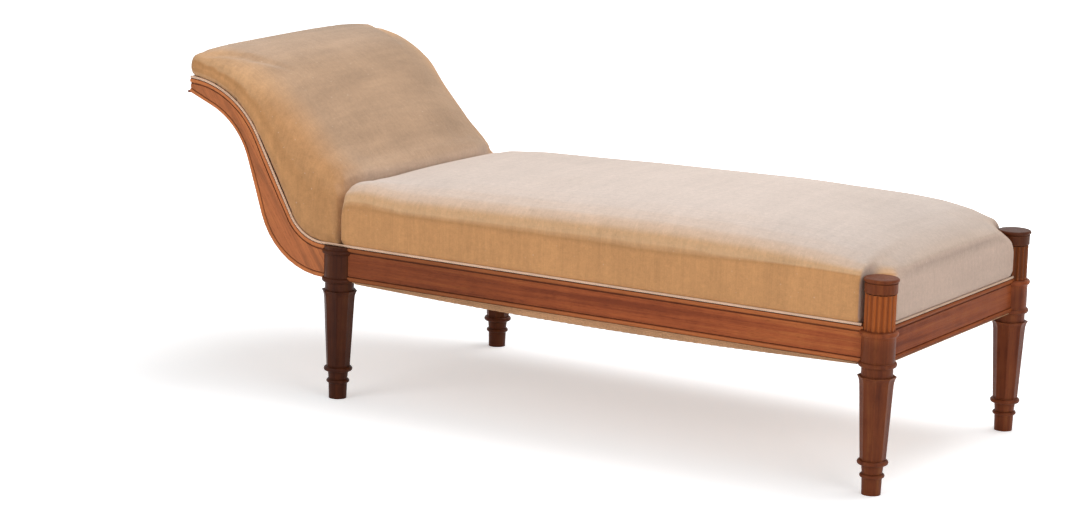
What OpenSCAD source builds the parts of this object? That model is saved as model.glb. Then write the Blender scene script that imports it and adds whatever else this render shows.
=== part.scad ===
// Recamier: an upholstered daybed with one outscrolled head end, in a moulded
// mahogany frame on octagonal legs. The foot end is toward +X, the near long
// side faces -Y, and Z is up from the floor. The origin is at floor level,
// under the middle of the overall length and width.

/* [Frame] */
// Distance between the head and foot leg centres, along the daybed
leg_span = 1300; // [1000:10:1600]
// Distance between the near and far leg centres, across the daybed
leg_gauge = 658; // [540:2:780]
// Height of the seat rails
rail_h = 74.5; // [66:0.5:84]
// Thickness of the seat rails and scroll stiles
rail_t = 28; // [24:1:34]
// How far the rail face stands outside the line of the leg centres
rail_offset = 16.9; // [14:0.1:20]
// Length of the tenons on rails
tenon_len = 21; // [12:1:22]
// Thickness of the tenons on rails
tenon_t = 9; // [6:1:12]

/* [Moulding] */
// Width of the beads along the edges of the rails
bead_w = 10; // [6:0.5:14]
// How far the beads stand out of the plain face
bead_proud = 3; // [1.5:0.5:4]
// Width of the groove beside the upper bead
groove_w = 3; // [1.5:0.5:4]
// Depth of the grooves below the plain face
groove_d = 1.6; // [0.8:0.2:3]

/* [Legs] */
// Radius at the bottom of the foot
foot_r = 19.6; // [16:0.2:24]
// Radius of the foot under the lower ring
ankle_r = 20.6; // [17:0.2:25]
// Height of the foot below the lower ring
foot_h = 35; // [24:1:50]
// Radius of the lower ring
low_ring_r = 25.4; // [22:0.2:32]
// Height of the lower ring
low_ring_h = 8.5; // [6:0.5:12]
// Height of the collar between the two rings
collar_h = 18; // [12:1:30]
// Radius of the collar at its top
collar_r = 22.7; // [18:0.1:28]
// Radius of the upper ring
top_ring_r = 31.7; // [26:0.2:40]
// Height of the upper ring
top_ring_h = 10.5; // [7:0.5:14]
// Height of the octagonal shaft below its flare
shaft_h = 150; // [110:2:190]
// Corner radius of the octagon at the bottom of the shaft
shaft_low_r = 26.3; // [22:0.1:32]
// Corner radius of the octagon below the flare
shaft_high_r = 34.1; // [30:0.1:42]
// Height of the flare at the top of the shaft
flare_h = 21; // [12:1:30]
// Corner radius of the octagon at the top of the flare
flare_r = 39.7; // [36:0.1:48]
// Height of the neck above the flare
neck_h = 18.4; // [10:0.2:26]
// Radius of the neck
neck_r = 32; // [28:0.5:38]
// Radius of the round block that the rails join
block_r = 34.4; // [31:0.2:42]
// Radius of the two beads on the block
ring_r = 39.1; // [36:0.1:48]
// Height of each bead on the block
ring_h = 11.7; // [8:0.1:16]
// Height of the block between its two beads
block_h = 50.6; // [44:0.2:64]

/* [Foot posts] */
// Height of the fluted part of the foot posts
flute_h = 74; // [50:1:110]
// Radius of the fluted part, over the ridges between the flutes
post_r = 31.4; // [28:0.1:37]
// Number of flutes round the post
flute_count = 16; // [10:2:20]
// Radius of the round tool that cuts each flute
flute_r = 7; // [5:0.2:9]
// Depth of each flute
flute_d = 2.7; // [1:0.1:3.4]
// Height of the cap below its lip
cap_h = 21; // [14:1:34]
// Radius of the cap below its lip
cap_r = 33.4; // [30:0.2:38]
// Height of the lip on the cap
lip_h = 8.5; // [5:0.5:12]
// Radius of the lip on the cap
lip_r = 36; // [33:0.5:41]

/* [Scroll] */
// Slope in degrees of the straight run of the stile's lower edge
under_slope = 71.9; // [62:0.1:78]
// Height of the centre of the scroll above the rails
scroll_rise_h = 111.8; // [90:0.2:140]
// Radius of the upper edge of the stile round the scroll
scroll_r = 218.5; // [200:0.5:250]
// Width of the stile round the scroll
stile_w = 43.5; // [38:0.5:56]
// Radius of the sweep from the rail's top edge up into the stile
sweep_r = 103.5; // [80:0.5:125]
// Slope in degrees where the lower edge runs out straight to the tip
tip_slope = 22; // [18:1:32]
// How far the upright end of the stile stands short of the scroll centre
tip_cut = 6.8; // [2:0.2:20]
// How far the lip under the tip stands out
lip_out = 5.5; // [3:0.5:9]
// Height of the lip under the tip
lip_tall = 5; // [3:0.5:9]

/* [Seat] */
// Height of the seat's upright side above the rail
seat_side = 58; // [40:1:80]
// Height of the crown above the upright side
seat_crown = 118; // [80:2:140]
// Place of the highest point along the seat, from the middle of the leg span
peak_x = 90; // [-100:5:200]
// How far the cover bulges out past the rail's face
side_bulge = 2; // [0:0.5:5]
// How far the cover is drawn in at the gimp
draw_in = 5; // [4:0.5:9]
// Height over which the cover is drawn in
draw_h = 12; // [8:1:30]
// Gap left round each foot post
post_gap = 1.2; // [0.6:0.1:3]
// Depth of the hollow under the seat that the springs fill
well_h = 62; // [40:1:72]

/* [Back] */
// Distance from the head leg centre to the toe of the back, toward the foot
toe_x = 12; // [-10:1:18]
// Thickness of the back over the top of the scroll
back_t = 65.7; // [50:0.1:80]
// How far the centre of the back's rounded top stands ahead of the scroll's centre
back_ahead_x = 23.8; // [0:0.2:40]
// How far it stands below the scroll's centre
back_below_z = 64.6; // [40:0.2:80]
// Slope in degrees of the straight part of the back
back_slope = 39.5; // [36:0.5:52]
// Share of the pad's thickness that its upright side takes up
back_side_share = 0.3; // [0.2:0.01:0.5]

/* [Hidden inside] */
// Width of the webbing
web_w = 50; // [40:1:60]
// Thickness of the webbing
web_t = 1.5; // [1:0.1:2]
// Spring rows along the seat
spring_cols = 5; // [3:1:5]
// Spring rows across the seat
spring_rows = 3; // [2:1:3]
// Radius of the springs' end coils
spring_r = 42; // [34:1:46]
// Radius of the springs' waist
waist_r = 26; // [20:1:30]
// Radius of the spring wire
wire_r = 2; // [1.6:0.1:2.4]
// Turns in each spring
spring_turns = 4.5; // [3.5:0.5:5.5]
// Thickness of the hessian, bottoming and back cloth
cloth_t = 1.2; // [0.8:0.1:2]
// Sag of the bottoming at its edge
edge_sag = 10; // [4:0.5:14]
// Further sag of the bottoming in the middle
mid_sag = 6; // [2:0.5:10]
// Length of the corner blocks along each rail
brace_len = 105; // [90:1:130]
// Height of the corner blocks
brace_h = 40; // [30:1:46]
// Width of the stay across the back
stay_w = 48; // [36:1:56]
// Thickness of the stay across the back
stay_t = 22; // [16:1:26]
// Radius of the dowels that hold the cross rails to the stiles
dowel_r = 5; // [3:0.5:6]
// Length of those dowels
dowel_len = 40; // [24:1:48]
// Radius of the screws in the corner blocks
screw_r = 2.2; // [1.6:0.1:2.6]
// Radius of the screw heads
screw_head_r = 4.4; // [3.4:0.1:5]

/* [Trim] */
// Height of the gimp cord
gimp_h = 5.6; // [4:0.2:9]
// Depth of the gimp cord
gimp_d = 5.6; // [4:0.2:8]

/* [Hidden] */

// Fit between a tenon and its mortise, and between curved faces that meet
fit = 0.3;
// Overrun of cuts
cut = 2;
// Gap between soft pieces and what they touch
soft_gap = 0.4;
// Fineness of the turned work
turned = 72;

// Levels above the floor
ring_z = foot_h + low_ring_h + collar_h + top_ring_h;
flare_z = ring_z + shaft_h;
neck_z = flare_z + flare_h;
block_z = neck_z + neck_h;
post_z = block_z + 2 * ring_h + block_h;
flute_z = post_z + flute_h;
cap_z = flute_z + groove_w;
rail_z = block_z + ring_h / 2;
rail_top = rail_z + rail_h;
base_gap = fit + web_t + soft_gap;
pad_z = rail_top + base_gap;

// Places in plan. The scroll stands where its lower edge runs straight into the
// sweep at the slope given
scroll_z = rail_top + scroll_rise_h;
scroll_under_r = scroll_r - stile_w;
sweep_under_r = sweep_r + rail_h;
scroll_x = block_r + fit
    + (sweep_under_r + scroll_under_r + (scroll_z - rail_top - sweep_r) * cos(under_slope)) / sin(under_slope);
overall = scroll_x - tip_cut + lip_out + leg_span + ring_r;
x_tip = -overall / 2;
x_cut = x_tip + lip_out;
x_head = x_cut + scroll_x - tip_cut;
x_foot = x_head + leg_span;
y_leg = leg_gauge / 2;
y_face = y_leg + rail_offset;
y_in = y_face - rail_t;
x_face = x_foot + rail_offset;
x_foot_in = x_face - rail_t;
x_head_in = x_head + rail_t / 2;
// Middle of the rail's thickness, outside the line of the leg centres
rail_mid = rail_offset - rail_t / 2;

// Side view of the scroll: two centres, and the common tangents between the
// arcs drawn about them, give the upper and lower edges of the stile
sweep_c = [x_head - block_r - fit, rail_top + sweep_r];
scroll_c = [x_head - scroll_x, scroll_z];
centre_gap = norm(sweep_c - scroll_c);
centre_lean = atan2(scroll_c[1] - sweep_c[1], sweep_c[0] - scroll_c[0]);
top_slope = asin((sweep_r + scroll_r) / centre_gap) + centre_lean;
tip_top_slope = asin(tip_cut / scroll_r);
sweep_steps = 9;
straight_steps = 4;
scroll_steps = 14;

function on_sweep(r, slope) = sweep_c + r * [-sin(slope), -cos(slope)];
function on_scroll(r, slope) = scroll_c + r * [sin(slope), cos(slope)];
function between(a, b, share) = a + (b - a) * share;
function steps(n, skip = 0) = [for (i = [skip : n]) i / n];

top_line = concat(
    [for (k = steps(sweep_steps)) on_sweep(sweep_r, top_slope * k)],
    [for (k = steps(straight_steps, 1))
        between(on_sweep(sweep_r, top_slope), on_scroll(scroll_r, top_slope), k)],
    [for (k = steps(scroll_steps, 1)) on_scroll(scroll_r, between(top_slope, tip_top_slope, k))]);
under_end = on_scroll(scroll_under_r, tip_slope);
tip_under = [x_cut, under_end[1] + (under_end[0] - x_cut) * tan(tip_slope)];
tip_share = 0.8;
under_line = concat(
    [for (k = steps(sweep_steps)) on_sweep(sweep_under_r, under_slope * k)],
    [for (k = steps(straight_steps, 1))
        between(on_sweep(sweep_under_r, under_slope), on_scroll(scroll_under_r, under_slope), k)],
    [for (k = steps(scroll_steps, 1)) k < tip_share
        ? on_scroll(scroll_under_r, between(under_slope, tip_slope, k / tip_share))
        : between(under_end, tip_under, (k - tip_share) / (1 - tip_share))]);
last = len(top_line) - 1;

// Line at a distance outside the upper edge, measured square to it
function unit(v) = v / norm(v);
function heading(line, i) = unit(line[min(i + 1, len(line) - 1)] - line[max(i - 1, 0)]);
function outside(line, i, d) = line[i] + d * [heading(line, i)[1], -heading(line, i)[0]];

// Front of the back pad in side view: toe, straight slope, rounded top
back_c = scroll_c + [back_ahead_x, -back_below_z];
back_r = scroll_r + base_gap + back_t + back_below_z;
function on_back(slope) = back_c + back_r * [sin(slope), cos(slope)];
slope_top = on_back(back_slope);
x_toe = x_head + toe_x;
toe_top = [x_toe, slope_top[1] - (x_toe - slope_top[0]) * tan(back_slope)];
x_end = x_cut + gimp_d + 2 * soft_gap;
end_slope = asin((x_end - back_c[0]) / back_r);
front_line = concat(
    [for (k = steps(sweep_steps)) between([x_toe, pad_z], toe_top, k)],
    [for (k = steps(straight_steps, 1)) between(toe_top, slope_top, k)],
    [for (k = steps(scroll_steps, 1)) on_back(between(back_slope, end_slope, k))]);
base_line = [for (i = [0 : last]) let (p = outside(top_line, i, base_gap))
    i < last ? p : [x_end, p[1]]];

// Solid skinned over a row of like outlines, its ends closed with given
// triangles; the faces are turned outward whichever way the row runs. From the
// share given the sides are split along their other diagonal
module loft(rings, ends, split_share = 1) {
    n = len(rings);
    m = len(rings[0]);
    split = m * split_share;
    points = [for (ring = rings) for (p = ring) p];
    faces = concat(
        [for (t = ends) [t[2], t[1], t[0]]],
        [for (i = [0 : n - 2]) for (j = [0 : m - 1])
            [i * m + j, i * m + (j + 1) % m, (i + 1) * m + (j < split ? (j + 1) % m : j)]],
        [for (i = [0 : n - 2]) for (j = [0 : m - 1])
            [i * m + (j < split ? j : (j + 1) % m), (i + 1) * m + (j + 1) % m, (i + 1) * m + j]],
        [for (t = ends) [for (k = t) (n - 1) * m + k]]);
    inward = [for (f = faces) points[f[0]] * cross(points[f[1]], points[f[2]])] * [for (f = faces) 1] > 0;
    polyhedron(points, inward ? [for (f = faces) [f[2], f[1], f[0]]] : faces, convexity = 6);
}

// End triangles: a fan about one point of the outline, or a strip between the
// first half of the outline and the second
function fan(m, hub = 0) = [for (k = [1 : m - 2]) [hub, (hub + k) % m, (hub + k + 1) % m]];
function strip(m) = concat(
    [for (j = [0 : m / 2 - 2]) [j, j + 1, m - 1 - j]],
    [for (j = [0 : m / 2 - 2]) [j + 1, m - 2 - j, m - 1 - j]]);

// Moulding section: distance from the upper edge, then height above the inner face
bead_shares = [[0, 0], [0.14, 0.72], [0.5, 1], [0.86, 0.72], [1, 0]];
function moulding(w) = let (face = rail_t - bead_proud, low = face - groove_d) concat(
    [[0, 0]],
    [for (s = bead_shares) [bead_w * s[0], low + (rail_t - low) * s[1]]],
    [[bead_w + groove_w, low], [bead_w + groove_w, face]],
    [[w - bead_w - groove_w / 2, face], [w - bead_w - groove_w / 2, low]],
    [for (s = bead_shares) [w - bead_w + bead_w * s[0], low + (rail_t - low) * s[1]]],
    [[w, 0]]);
moulding_ends = concat(
    [for (k = [2 : 4]) [1, k, k + 1]],
    [[6, 7, 8], [6, 8, 9]],
    [for (k = [11 : 13]) [10, k, k + 1]],
    [[0, 1, 5], [0, 5, 6], [0, 6, 9], [0, 9, 10], [0, 10, 14], [0, 14, 15]]);

// Turned bead with a half-round edge
module ring(r, h) {
    rotate_extrude($fn = turned) {
        square([r - h / 2, h]);
        translate([r - h / 2, h / 2]) circle(d = h, $fn = 32);
    }
}

module at(z) { translate([0, 0, z]) children(); }

// Octagonal shaft with its flats facing the rails: a straight taper, then the flare
flare_shares = [[0, 0], [0.4, 0.14], [0.7, 0.42], [0.86, 0.74], [1, 1]];
function octagon(z, r) = [for (k = [0 : 7]) [r * cos(360 * (k + 0.5) / 8), r * sin(360 * (k + 0.5) / 8), z]];
module octagonal_shaft() {
    loft(concat([octagon(ring_z, shaft_low_r)], [for (s = flare_shares)
        octagon(flare_z + flare_h * s[0], between(shaft_high_r, flare_r, s[1]))]), fan(8));
}

// The round block and its beads, grown all round by a clearance
module block_shape(grow = 0) {
    at(block_z - grow) ring(ring_r + grow, ring_h + 2 * grow);
    at(block_z) cylinder(h = 2 * ring_h + block_h, r = block_r + grow, $fn = turned);
    at(block_z + ring_h + block_h - grow) ring(ring_r + grow, ring_h + 2 * grow);
}

// Cut that fits a rail or a brace over a leg: its block, and what stands on that
module cope(is_foot) {
    block_shape(fit);
    at(block_z) cylinder(h = flute_z - block_z, r = (is_foot ? post_r : block_r) + fit, $fn = turned);
}

// Block of a tenon that points along +X at the leg centre, and its mortise
tenon_z = rail_z + bead_w + groove_w;
tenon_h = rail_h - 2 * (bead_w + groove_w);
module tenon(grow = 0) {
    translate([-block_r - fit - cut, -tenon_t / 2 - grow, tenon_z - grow])
        cube([fit + cut + tenon_len + grow, tenon_t + 2 * grow, tenon_h + 2 * grow]);
}

module flip_x(on) {
    if (on) mirror([1, 0, 0]) children();
    else children();
}

module flip_y(on) {
    if (on) mirror([0, 1, 0]) children();
    else children();
}

module fluted_post() {
    at(post_z) linear_extrude(flute_h) difference() {
        circle(post_r, $fn = turned);
        for (i = [0 : flute_count - 1]) rotate(360 * (i + 0.5) / flute_count)
            translate([post_r + flute_r - flute_d, 0]) circle(flute_r, $fn = turned);
    }
    at(flute_z) cylinder(h = groove_w, r = post_r - flute_d - groove_d, $fn = turned);
    at(cap_z) cylinder(h = cap_h - groove_d, r = cap_r, $fn = turned);
    at(cap_z + cap_h - groove_d) cylinder(h = groove_d, r = cap_r - groove_d, $fn = turned);
    at(cap_z + cap_h) ring(lip_r, lip_h);
}

// Leg at the origin, with the frame's inside toward -X and -Y. The side rail
// comes from -X and the cross rail from -Y; cross_mid is the cross rail's place
module leg(is_foot, cross_mid) {
    color("saddlebrown") difference() {
        union() {
            cylinder(h = foot_h, r1 = foot_r, r2 = ankle_r, $fn = turned);
            at(foot_h) ring(low_ring_r, low_ring_h);
            at(foot_h + low_ring_h) cylinder(h = collar_h, r1 = ankle_r, r2 = collar_r, $fn = turned);
            at(ring_z - top_ring_h) ring(top_ring_r, top_ring_h);
            octagonal_shaft();
            at(neck_z) cylinder(h = neck_h, r = neck_r, $fn = turned);
            block_shape();
            if (is_foot) fluted_post();
            else at(block_z) cylinder(h = max(post_z, rail_top) - block_z, r = block_r, $fn = turned);
        }
        translate([0, rail_mid, 0]) tenon(fit);
        translate([cross_mid, 0, 0]) rotate([0, 0, 90]) tenon(fit);
        if (!is_foot) translate([0, rail_mid, 0]) mirror([1, 0, 0]) tenon(fit);
    }
}

module foot_leg(near) {
    translate([x_foot, near ? -y_leg : y_leg, 0]) flip_y(near) leg(true, rail_mid);
}

module head_leg(near) {
    translate([x_head, near ? -y_leg : y_leg, 0]) flip_y(near) flip_x(true) leg(false, 0);
}

// Inside corner of the frame, with its rails along +X and +Y
module in_corner(foot, near) {
    translate([foot ? x_foot_in : x_head_in, near ? -y_in : y_in, 0])
        flip_x(foot) flip_y(!near) children();
}

brace_z = rail_z + (rail_h - brace_h) / 2;
screw_at_share = 0.62;
screw_seat = 12;
screw_bite = 13;
screw_head_h = 3;

// Two screws that stand square to the rails; grown, they are the holes for them
module corner_screws(grow = 0) {
    for (second = [false, true]) rotate([0, 0, second ? 90 : 0]) flip_y(second)
        translate([brace_len * screw_at_share, screw_seat, brace_z + brace_h / 2]) rotate([90, 0, 0]) {
            translate([0, 0, grow > 0 ? -brace_len : -screw_head_h])
                cylinder(h = grow > 0 ? brace_len : screw_head_h, r = screw_head_r + grow, $fn = 24);
            cylinder(h = screw_seat + screw_bite + grow, r = screw_r + grow, $fn = 24);
        }
}

module brace(foot, near) {
    leg_in = foot ? x_foot - x_foot_in : x_head_in - x_head;
    color("burlywood") in_corner(foot, near) difference() {
        at(brace_z) linear_extrude(brace_h) polygon([[0, 0], [brace_len, 0], [0, brace_len]]);
        translate([-leg_in, y_in - y_leg, 0]) cope(foot);
        corner_screws(fit);
    }
}

module brace_screws() {
    color("silver") for (foot = [false, true]) for (near = [false, true])
        in_corner(foot, near) corner_screws();
}

module all_screw_holes() {
    for (foot = [false, true]) for (near = [false, true]) in_corner(foot, near) corner_screws(fit);
}

// Side rail, drawn on the far side: its ends are coped over the legs' blocks
rail_section = [for (p = moulding(rail_h)) [p[1], rail_top - p[0]]];
module side_rail(near) {
    color("sienna") flip_y(near) difference() {
        union() {
            difference() {
                translate([x_head, y_in, 0]) rotate([90, 0, 90]) linear_extrude(leg_span)
                    polygon(rail_section);
                for (is_foot = [false, true])
                    translate([is_foot ? x_foot : x_head, y_leg, 0]) cope(is_foot);
            }
            translate([x_foot, y_leg + rail_mid, 0]) tenon();
            translate([x_head, y_leg + rail_mid, 0]) mirror([1, 0, 0]) tenon();
        }
        all_screw_holes();
    }
}

module cross_tenons(x) {
    for (near = [false, true]) flip_y(near) translate([x, y_leg, 0]) rotate([0, 0, 90]) tenon();
}

module foot_rail() {
    color("sienna") difference() {
        union() {
            difference() {
                translate([x_foot_in, y_leg, 0]) rotate([90, 0, 0]) linear_extrude(leg_gauge)
                    polygon(rail_section);
                for (y = [-y_leg, y_leg]) translate([x_foot, y, 0]) cope(true);
            }
            cross_tenons(x_foot + rail_mid);
        }
        all_screw_holes();
    }
}

module head_rail() {
    color("burlywood") difference() {
        union() {
            difference() {
                translate([x_head - rail_t / 2, -y_leg, rail_z]) cube([rail_t, leg_gauge, rail_h]);
                for (y = [-y_leg, y_leg]) translate([x_head, y, 0]) cope(false);
            }
            cross_tenons(x_head);
        }
        all_screw_holes();
    }
}

// Scroll stile, drawn on the far side: the rail's moulding skinned up the
// scroll, with the end toward the leg coped over its block
function stile_ring(i) = let (w = norm(under_line[i] - top_line[i]), d = (under_line[i] - top_line[i]) / w)
    [for (p = moulding(w)) let (q = top_line[i] + d * p[0]) [q[0], y_in + p[1], q[1]]];

module stile(near) {
    color("sienna") flip_y(near) difference() {
        union() {
            difference() {
                loft(concat([[for (p = stile_ring(0)) p + [block_r + fit, 0, 0]]],
                    [for (i = [0 : last]) stile_ring(i)]), moulding_ends);
                translate([x_head, y_leg, 0]) cope(false);
            }
            translate([x_head, y_leg + rail_mid, 0]) tenon();
        }
        dowel_set(fit / 2);
    }
}

// Crest rail across the tip, and the stay across the straight of the stiles
crest_from = last - 3;
stay_i = sweep_steps + straight_steps / 2;
stay_c = between(top_line[stay_i], under_line[stay_i], 0.5);
stay_turn = atan2(heading(top_line, stay_i)[1], heading(top_line, stay_i)[0]);
crest_c = between(top_line[last - 2], under_line[last - 2], 0.5);

// Children drawn in side view, extruded across the frame between the stiles
module across(half_width) {
    translate([0, half_width, 0]) rotate([90, 0, 0]) linear_extrude(2 * half_width) children();
}

module dowel_set(grow = 0) {
    for (near = [false, true]) flip_y(near) {
        for (side = [-1, 1]) {
            along = side * stay_w / 4 * [cos(stay_turn), sin(stay_turn)];
            dowel(stay_c + along, grow);
        }
        dowel(crest_c, grow);
    }
}

module dowel(p, grow) {
    translate([p[0], y_in - dowel_len / 2 - grow, p[1]]) rotate([-90, 0, 0])
        cylinder(h = dowel_len + 2 * grow, r = dowel_r + grow, $fn = 32);
}

module dowels() { color("tan") dowel_set(); }

module crest_rail() {
    color("sienna") difference() {
        union() {
            across(y_in) polygon(concat(
                [for (i = [crest_from : last]) top_line[i]],
                [for (i = [last : -1 : crest_from]) under_line[i]]));
            translate([x_tip, -y_in, tip_under[1]]) cube([lip_out + cut, 2 * y_in, lip_tall]);
            translate([x_tip, -y_face, tip_under[1]]) cube([lip_out - fit, 2 * y_face, lip_tall]);
        }
        dowel_set(fit / 2);
    }
}

module back_stay() {
    color("burlywood") difference() {
        across(y_in) translate(stay_c) rotate(stay_turn) square([stay_w, stay_t], center = true);
        dowel_set(fit / 2);
    }
}

// Band in side view along a line, between two distances outside it
module band(line, from, to, low, high) {
    polygon(concat(
        [for (i = [from : to]) outside(line, i, low)],
        [for (i = [to : -1 : from]) outside(line, i, high)]));
}

// Places of the springs; the webbing crosses under each and halfway between
pitch_x = (x_foot_in - x_head_in) / spring_cols;
pitch_y = 2 * y_in / spring_rows;
web_end = rail_t / 2;
function web_x(i) = x_head_in + pitch_x * i / 2;
function web_y(j) = -y_in + pitch_y * j / 2;

module webbing_cross() {
    color("wheat") for (i = [1 : 2 * spring_cols - 1])
        translate([web_x(i) - web_w / 2, -y_in - web_end, rail_z - web_t])
            cube([web_w, 2 * (y_in + web_end), web_t]);
}

// A lengthwise strip runs under the crosswise ones and rises to the rails
module webbing_long() {
    rise = web_w / 2;
    xs = [x_head_in - web_end, x_head_in, x_head_in + rise,
        x_foot_in - rise, x_foot_in, x_foot_in + web_end];
    drops = [0, 0, web_t, web_t, 0, 0];
    tops = [for (i = [0 : 5]) [xs[i], rail_z - drops[i]]];
    color("wheat") for (j = [1 : 2 * spring_rows - 1])
        translate([0, web_y(j) + web_w / 2, 0]) rotate([90, 0, 0]) linear_extrude(web_w)
            polygon(concat(tops, [for (i = [5 : -1 : 0]) tops[i] - [0, web_t]]));
}

// Coil spring: a square wire led round a waisted helix
spring_h = pad_z + well_h - 2 * fit - cloth_t - rail_z;
turn_steps = 8;
spring_steps = turn_steps * spring_turns;
function coil_r(k) = waist_r + (spring_r - waist_r) * pow(abs(2 * k - 1), 1.5);
module spring() {
    loft([for (i = [0 : spring_steps]) let (k = i / spring_steps, a = 360 * spring_turns * k,
            r = coil_r(k), z = wire_r + (spring_h - 2 * wire_r) * k)
        [for (s = [[-1, 0], [0, 1], [1, 0], [0, -1]])
            [(r + wire_r * s[0]) * cos(a), (r + wire_r * s[0]) * sin(a), z + wire_r * s[1]]]], fan(4));
}

module springs() {
    color("gray") for (i = [1 : spring_cols]) for (j = [1 : spring_rows])
        translate([web_x(2 * i - 1), web_y(2 * j - 1), rail_z]) spring();
}

// The hollow under the seat: closed over the cross rails, full between them
well_edge = 8;
well_run = 26;
x_seat = x_toe + 2 * soft_gap;
x_well = [x_seat + 2 * well_edge, x_seat + 2 * well_edge + well_run,
    x_foot_in - well_edge - well_run, x_foot_in - well_edge];
function ramp(v, a, b) = max(0, min(1, (v - a) / (b - a)));
function well(x) = well_h * ramp(x, x_well[0], x_well[1]) * ramp(x, x_well[3], x_well[2]);
well_y = y_in - well_edge;
function well_rim(x) = min(well_y, seat_half_w(x) - side_bulge - draw_in - well_edge);

// Sheet between a row of points and the same row lowered by its thickness
function sheet_ring(x, half, t) = let (
        row = concat([for (p = half) [-p[0], p[1]]], [for (k = [len(half) - 1 : -1 : 0]) half[k]]))
    concat([for (p = row) [x, p[0], p[1]]],
        [for (k = [len(row) - 1 : -1 : 0]) [x, row[k][0], row[k][1] - t]]);

// Sheet skinned over such rows, each half with so many points; its lower face is
// split along the same diagonals as its upper one
module sheet(rings, n) { loft(rings, strip(4 * n), 0.5); }

// Hessian over the springs: it follows the hollow under the seat
module hessian() {
    x1 = x_foot_in + web_end;
    xs = concat([x_head_in - web_end, x_well[0], x_well[1]],
        [for (x = notch_stations) if (x < x1 - cloth_t) x], [x1]);
    color("peru") sheet([for (x = xs) let (
            w = well(x), top = pad_z - fit, rim = well_rim(x) - fit,
            out = min(y_in + web_end, seat_half_w(x) - side_bulge - draw_in))
        sheet_ring(x, [[out, top], [rim, top], [rim - well_run, top + w], [rim / 2, top + w]], cloth_t)], 4);
}

// Bottoming cloth: tacked along the rails outside the webbing, slack between
module bottoming() {
    edge = web_end + 3 * cloth_t;
    tack = rail_t - edge - 2 * cloth_t;
    x0 = x_head_in - edge - tack;
    x1 = x_foot_in + edge + tack;
    x_leg = ring_r + cut;
    z_tack = rail_z - soft_gap;
    z_low = rail_z - 2 * web_t - soft_gap;
    span = steps(8);
    xs = concat([x0, x_head_in - edge, x_head_in - web_end - cloth_t, x_head + x_leg],
        [for (k = span) between(x_head + x_leg + cut, x_foot - x_leg - cut, k)],
        [x_foot - x_leg, x_foot_in + web_end + cloth_t, x_foot_in + edge, x1]);
    function slack(x) = let (k = (x - x0) / (x1 - x0)) 4 * k * (1 - k);
    function low(x) = (x < x_head_in - edge + cloth_t || x > x_foot_in + edge - cloth_t)
        ? z_tack : z_low;
    color("tan") sheet([for (x = xs) let (
            by_leg = x < x_head + x_leg + cut / 2 || x > x_foot - x_leg - cut / 2,
            y_out = by_leg ? y_leg - x_leg : y_in + edge + tack,
            z_out = by_leg ? low(x) : z_tack)
        sheet_ring(x, [
            [y_out, z_out],
            [y_out - tack, z_out],
            [y_out - tack - 2 * cloth_t, min(z_out, low(x) - edge_sag * slack(x))],
            [y_out * 2 / 3, low(x) - (edge_sag + mid_sag * 2 / 3) * slack(x)],
            [y_out / 4, low(x) - (edge_sag + mid_sag) * slack(x)]], cloth_t)], 5);
}

// Half outline of a padded section: distance from the middle, then height. Its
// turn runs from square, with low powers, to round, with both powers at 1
round_turns = [0, 2, 7, 15, 27, 41, 55, 69, 81];
pad_points = len(round_turns) + 4;
draw_share = 0.8;
function pad_half(half_w, side, crown, powers) = concat(
    [for (z = [0, gimp_h]) [half_w - draw_in - side_bulge, z],
        [half_w - side_bulge / 2, min(draw_h, side * draw_share)]],
    [for (a = round_turns) [half_w * pow(cos(a), powers[0]), side + crown * pow(sin(a), powers[1])]],
    [[0, side + crown]]);
function mirrored(half) = concat(half,
    [for (k = [len(half) - 2 : -1 : 0]) [-half[k][0], half[k][1]]]);
function middle_fan(n) = fan(2 * n - 1, n - 1);

// Seat: stations along X, notched round the foot posts by a circle
x_seat_end = x_face + side_bulge / 2;
x_peak = (x_head + x_foot) / 2 + peak_x;
notch_r = lip_r + post_gap;
head_fall_share = 0.2;
seat_powers = [0.67, 0.4];
head_powers = [0.67, 0.38];
foot_powers = [0.85, 0.55];
// How the crown falls off to its two ends: a high first power keeps it full
// until the very end, a low second one brings it down steeply
head_fall_powers = [30, 0.12];
foot_fall_powers = [3, 0.24];
head_shares = [0, 0.2, 0.6];
field_shares = [0.9, 0.8, 0.66, 0.5, 0.3, 0.1];
foot_shares = [0.12, 0.3, 0.46, 0.6, 0.72, 0.82];
notch_turns = [0, 22, 42, 59, 75, 90, 106];
function toward_head(x) = max(0, (x_peak - x) / (x_peak - x_seat));
function toward_foot(x) = max(0, (x - x_peak) / (x_seat_end - x_peak));
function fall_share(v, powers) = pow(max(0, 1 - pow(v, powers[0])), powers[1]);
function crown_share(x) = (1 - head_fall_share * toward_head(x))
    * fall_share(toward_head(x), head_fall_powers) * fall_share(toward_foot(x), foot_fall_powers);
function turn_powers(x) = seat_powers + (head_powers - seat_powers) * pow(toward_head(x), 2)
    + (foot_powers - seat_powers) * pow(toward_foot(x), 4);
function seat_half_w(x) = let (v = x - (x_foot - notch_r)) v < 0
    ? y_face + side_bulge
    : y_leg - sqrt(max(0, notch_r * notch_r - pow(x - x_foot, 2)));
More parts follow.
